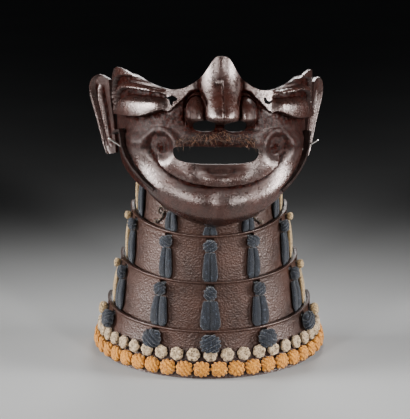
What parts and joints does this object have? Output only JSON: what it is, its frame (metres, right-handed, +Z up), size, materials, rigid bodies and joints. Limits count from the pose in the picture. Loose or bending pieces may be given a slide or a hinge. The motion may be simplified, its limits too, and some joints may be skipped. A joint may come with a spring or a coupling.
{
  "type": "samurai face guard",
  "caption": "Fierce half mask of russet lacquered iron with ears, open mouth and bristle moustache, over a laced throat guard of curved plates with knotted hem.",
  "frame": {"origin": "middle of the whole guard's box, on the plane that the lowest plate rests on", "axes": "+Z up, from the hem to the nose; the mask looks towards -Y; +X is on the viewer's right"},
  "size_m": [0.1734, 0.1268, 0.2255],
  "materials": {
    "russet_iron": "russet brown lacquer over iron, fairly glossy",
    "grained_plate": "brown lacquer with a fine pebbled grain, satin",
    "black_lacquer": "black lacquer, satin",
    "peg_silver": "bright worn metal",
    "bristle": "coarse orange-brown bristles",
    "blue_lace": "dark blue braided silk, matt",
    "cream_lace": "cream braided silk, matt",
    "orange_lace": "orange braided silk, matt"
  },
  "bodies": {
    "root": {"mask_bowl": "russet_iron", "ear_left": "russet_iron", "ear_right": "russet_iron", "moustache": "bristle", "cord_hook_left": "black_lacquer", "cord_hook_right": "black_lacquer", "cord_peg_left": "peg_silver", "cord_peg_right": "peg_silver", "lame_1": "grained_plate", "lame_2": "grained_plate", "lame_3": "grained_plate", "lame_4": "grained_plate", "lace_1": "cream_lace", "lace_2": "blue_lace", "lace_3": "blue_lace", "lace_4": "blue_lace", "lace_5": "blue_lace", "lace_6": "blue_lace", "lace_7": "cream_lace", "hem_knots_orange": "orange_lace", "hem_knots_cream": "cream_lace"}
  },
  "joints": []
}
